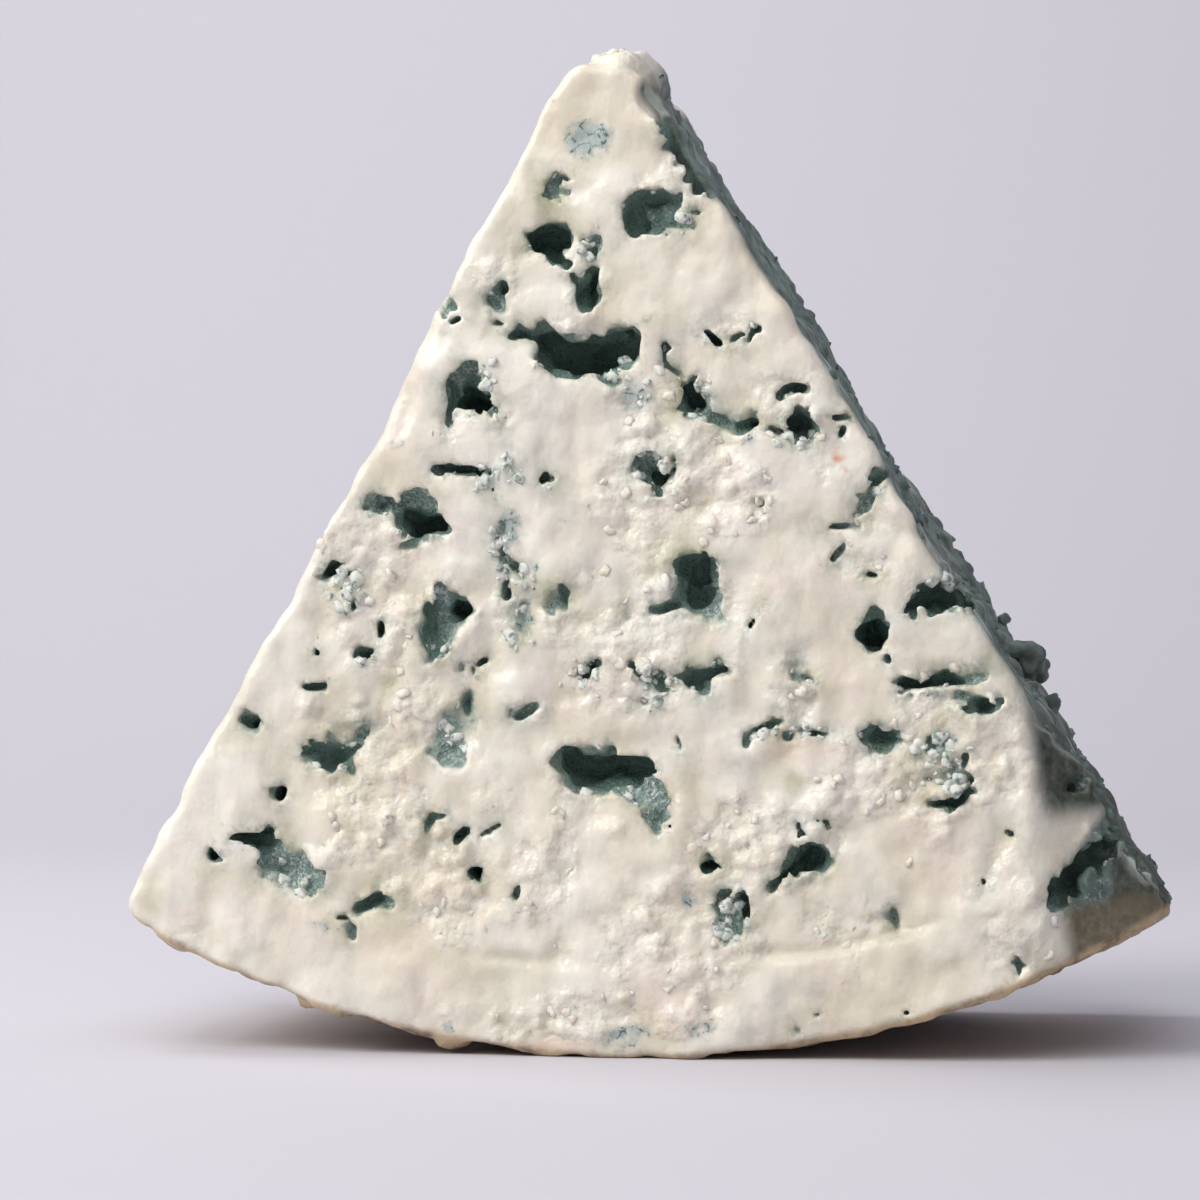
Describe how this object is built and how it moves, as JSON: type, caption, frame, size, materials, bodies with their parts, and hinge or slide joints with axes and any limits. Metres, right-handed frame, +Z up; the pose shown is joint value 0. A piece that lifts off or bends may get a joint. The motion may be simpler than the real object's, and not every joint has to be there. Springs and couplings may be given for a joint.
{
  "type": "blue cheese wedge",
  "caption": "Wedge of veined blue cheese standing on its curved rind with the point up, its broad cut face full of mould-lined eyes.",
  "frame": {"origin": "middle of the wedge's footprint, on the surface that it stands on", "axes": "+Z up from the rind to the point; -Y out of the broad cut face that the picture shows; +X to that face's right"},
  "size_m": [0.1014, 0.052, 0.0985],
  "materials": {
    "paste": "moist ivory cheese paste, crumbly and veined with blue-green mould, under a thin beige rind"
  },
  "bodies": {
    "root": {"cheese_wedge": "paste"}
  },
  "joints": []
}
